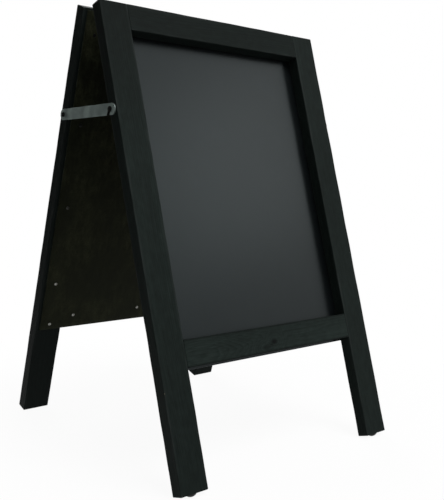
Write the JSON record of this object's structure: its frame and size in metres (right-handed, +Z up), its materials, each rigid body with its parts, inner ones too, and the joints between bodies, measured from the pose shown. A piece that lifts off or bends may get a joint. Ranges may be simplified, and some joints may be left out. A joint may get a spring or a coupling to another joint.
{
  "type": "sandwich board",
  "caption": "Free-standing A-frame chalkboard sign: framed writing panels hinged together at the top and held apart by flat side stays that hook over screws.",
  "frame": {"origin": "on the floor, midway between the four legs", "axes": "+Z up, +Y from the front panel towards the rear panel, +X to the right of someone facing the front panel"},
  "size_m": [0.6648, 0.7322, 1.0115],
  "materials": {
    "stained_timber": "planed softwood, black wood stain, satin, grain showing",
    "beech_dowel": "bare beech",
    "chalk_board": "hardboard, satin dark grey chalkboard paint outside, bare brown inside",
    "galvanised_bar": "rolled flat bar, dull zinc plate",
    "hinge_steel": "pressed steel, dull zinc plate",
    "screw_steel": "bright zinc plate",
    "glide_plastic": "moulded black plastic, worn flat at the floor"
  },
  "bodies": {
    "front_frame": {"front_stile_left": "stained_timber", "front_stile_right": "stained_timber", "front_top_rail": "stained_timber", "front_bottom_rail": "stained_timber", "front_dowels": "beech_dowel", "front_chalk_panel": "chalk_board", "front_panel_screws": "screw_steel", "front_glide_left": "glide_plastic", "front_glide_right": "glide_plastic", "front_hinge_screws": "screw_steel", "hinge_left_front_leaf": "hinge_steel", "hinge_left_pin": "screw_steel", "hinge_right_front_leaf": "hinge_steel", "hinge_right_pin": "screw_steel", "stay_left_hook_screw": "screw_steel", "stay_right_hook_screw": "screw_steel"},
    "rear_frame": {"rear_stile_left": "stained_timber", "rear_stile_right": "stained_timber", "rear_top_rail": "stained_timber", "rear_bottom_rail": "stained_timber", "rear_dowels": "beech_dowel", "rear_chalk_panel": "chalk_board", "rear_panel_screws": "screw_steel", "rear_glide_left": "glide_plastic", "rear_glide_right": "glide_plastic", "rear_hinge_screws": "screw_steel", "hinge_left_rear_leaf": "hinge_steel", "hinge_right_rear_leaf": "hinge_steel", "stay_left_pivot_screw": "screw_steel", "stay_right_pivot_screw": "screw_steel"},
    "left_stay": {"stay_left_bar": "galvanised_bar"},
    "right_stay": {"stay_right_bar": "galvanised_bar"}
  },
  "joints": [
    {"name": "fold", "type": "hinge", "parent": "front_frame", "child": "rear_frame", "pos_m": [0, 0, 1.00098], "axis": [-1, 0, 0], "range_deg": [0, 35.5]},
    {"name": "left_stay_swing", "type": "hinge", "parent": "rear_frame", "child": "left_stay", "pos_m": [-0.3269, 0.10608, 0.77454], "axis": [-1, 0, 0], "range_deg": [0, 70.83]},
    {"name": "right_stay_swing", "type": "hinge", "parent": "rear_frame", "child": "right_stay", "pos_m": [0.3269, 0.10608, 0.77454], "axis": [-1, 0, 0], "range_deg": [0, 70.83]}
  ],
  "couplings": [
    {"joint": "left_stay_swing", "follows": "fold", "ratio": 1.9953},
    {"joint": "right_stay_swing", "follows": "fold", "ratio": 1.9953}
  ]
}
